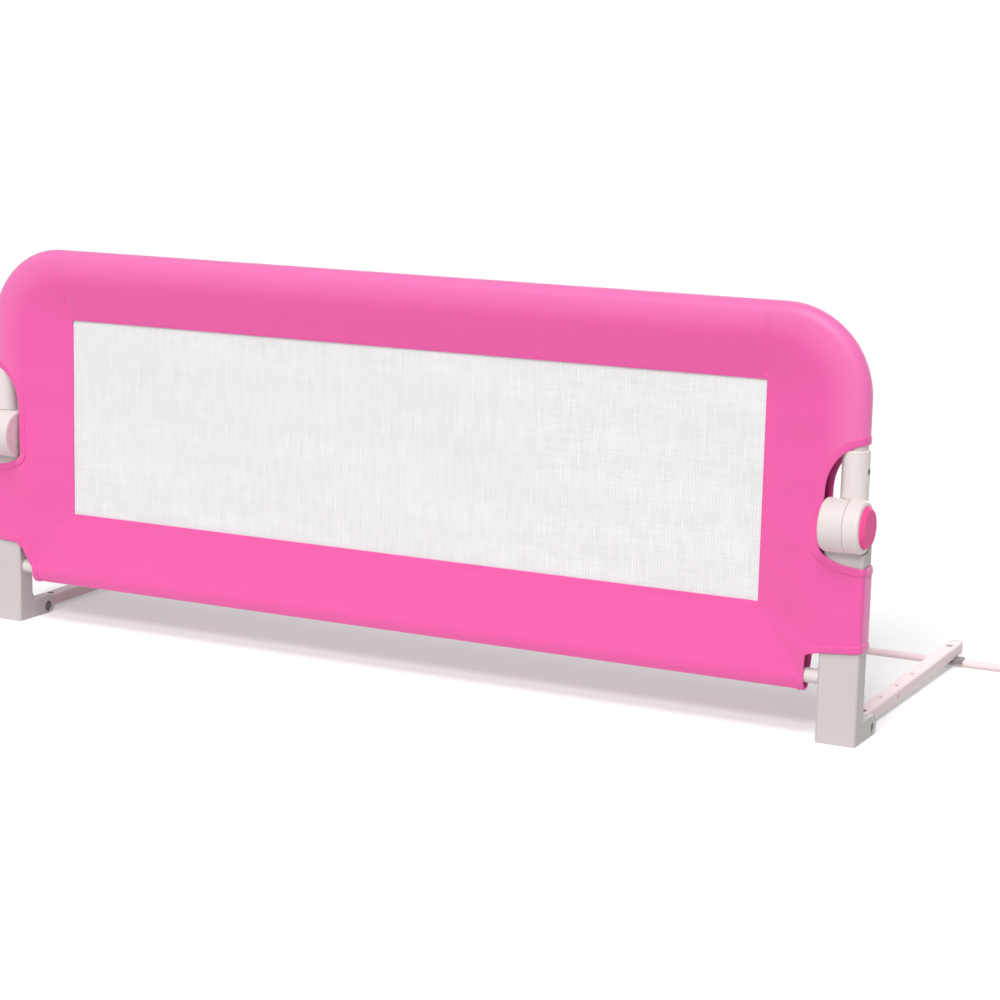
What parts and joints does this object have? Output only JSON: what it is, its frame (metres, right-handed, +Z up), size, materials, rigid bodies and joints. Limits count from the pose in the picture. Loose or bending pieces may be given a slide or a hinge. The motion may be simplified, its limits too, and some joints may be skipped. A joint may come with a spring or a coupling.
{
  "type": "fold-down bed rail",
  "caption": "Fold-down guard rail for a child's bed: fabric panel with a mesh window on a tube frame, push-button hinges, short legs and flat arms that lie under the mattress.",
  "frame": {"origin": "on the floor, in the middle of the length and of the whole depth", "axes": "+X along the rail to the right as seen from the room, +Y towards the mattress, +Z up"},
  "size_m": [1.2142, 0.4173, 0.414],
  "materials": {
    "cover_fabric": "woven, satin sheen",
    "window_mesh": "fine open weave",
    "leg_plastic": "fine moulded texture",
    "hinge_plastic": "satin moulded",
    "button_plastic": "satin moulded",
    "lock_plastic": "moulded nylon",
    "plug_plastic": "moulded",
    "saddle_plastic": "moulded",
    "arm_enamel": "white powder coat",
    "tube_enamel": "white powder coat",
    "fastener_steel": "dark zinc plate",
    "spring_steel": "drawn wire",
    "cap_vinyl": "dipped vinyl"
  },
  "bodies": {
    "base": {"right_leg": "leg_plastic", "left_leg": "leg_plastic", "right_foot_plug": "plug_plastic", "left_foot_plug": "plug_plastic", "right_hinge_bolt": "fastener_steel", "left_hinge_bolt": "fastener_steel", "right_hinge_nut": "fastener_steel", "left_hinge_nut": "fastener_steel", "right_hinge_cap": "hinge_plastic", "left_hinge_cap": "hinge_plastic", "right_return_spring": "spring_steel", "left_return_spring": "spring_steel", "right_pivot_screw": "fastener_steel", "left_pivot_screw": "fastener_steel", "right_pivot_nut": "fastener_steel", "left_pivot_nut": "fastener_steel", "lower_cross_tube": "tube_enamel", "cross_tube_screws": "fastener_steel", "cover_lower": "cover_fabric", "window_mesh_lower": "window_mesh"},
    "guard": {"top_rail_tube": "tube_enamel", "right_hinge_upper": "hinge_plastic", "left_hinge_upper": "hinge_plastic", "socket_screws": "fastener_steel", "cover_upper": "cover_fabric", "window_mesh_upper": "window_mesh"},
    "right_button": {"right_button": "button_plastic"},
    "right_lock": {"right_lock_ring": "lock_plastic"},
    "right_arm": {"right_arm": "arm_enamel", "right_arm_plug": "plug_plastic", "right_crossbar": "arm_enamel", "right_rod_caps": "cap_vinyl", "right_rod_saddle": "saddle_plastic", "right_saddle_screw": "fastener_steel"},
    "left_button": {"left_button": "button_plastic"},
    "left_lock": {"left_lock_ring": "lock_plastic"},
    "left_arm": {"left_arm": "arm_enamel", "left_arm_plug": "plug_plastic", "left_crossbar": "arm_enamel", "left_rod_caps": "cap_vinyl", "left_rod_saddle": "saddle_plastic", "left_saddle_screw": "fastener_steel"}
  },
  "joints": [
    {"name": "guard_fold", "type": "hinge", "parent": "base", "child": "guard", "pos_m": [0, -0.1833, 0.21], "axis": [1, 0, 0], "range_deg": [0, 165]},
    {"name": "right_button_press", "type": "slide", "parent": "guard", "child": "right_button", "axis": [-1, 0, 0], "range_m": [0, 0.004], "stiffness_N_per_m": 1500},
    {"name": "right_lock_slide", "type": "slide", "parent": "base", "child": "right_lock", "axis": [-1, 0, 0], "range_m": [0, 0.004], "deforming": ["right_return_spring"]},
    {"name": "right_arm_fold", "type": "hinge", "parent": "base", "child": "right_arm", "pos_m": [0.4855, -0.1343, 0.008], "axis": [1, 0, 0], "range_deg": [0, 88]},
    {"name": "left_button_press", "type": "slide", "parent": "guard", "child": "left_button", "axis": [1, 0, 0], "range_m": [0, 0.004], "stiffness_N_per_m": 1500},
    {"name": "left_lock_slide", "type": "slide", "parent": "base", "child": "left_lock", "axis": [1, 0, 0], "range_m": [0, 0.004], "deforming": ["left_return_spring"]},
    {"name": "left_arm_fold", "type": "hinge", "parent": "base", "child": "left_arm", "pos_m": [-0.4855, -0.1343, 0.008], "axis": [1, 0, 0], "range_deg": [0, 88]}
  ],
  "couplings": [
    {"joint": "right_lock_slide", "follows": "right_button_press", "ratio": 1},
    {"joint": "left_lock_slide", "follows": "left_button_press", "ratio": 1}
  ]
}
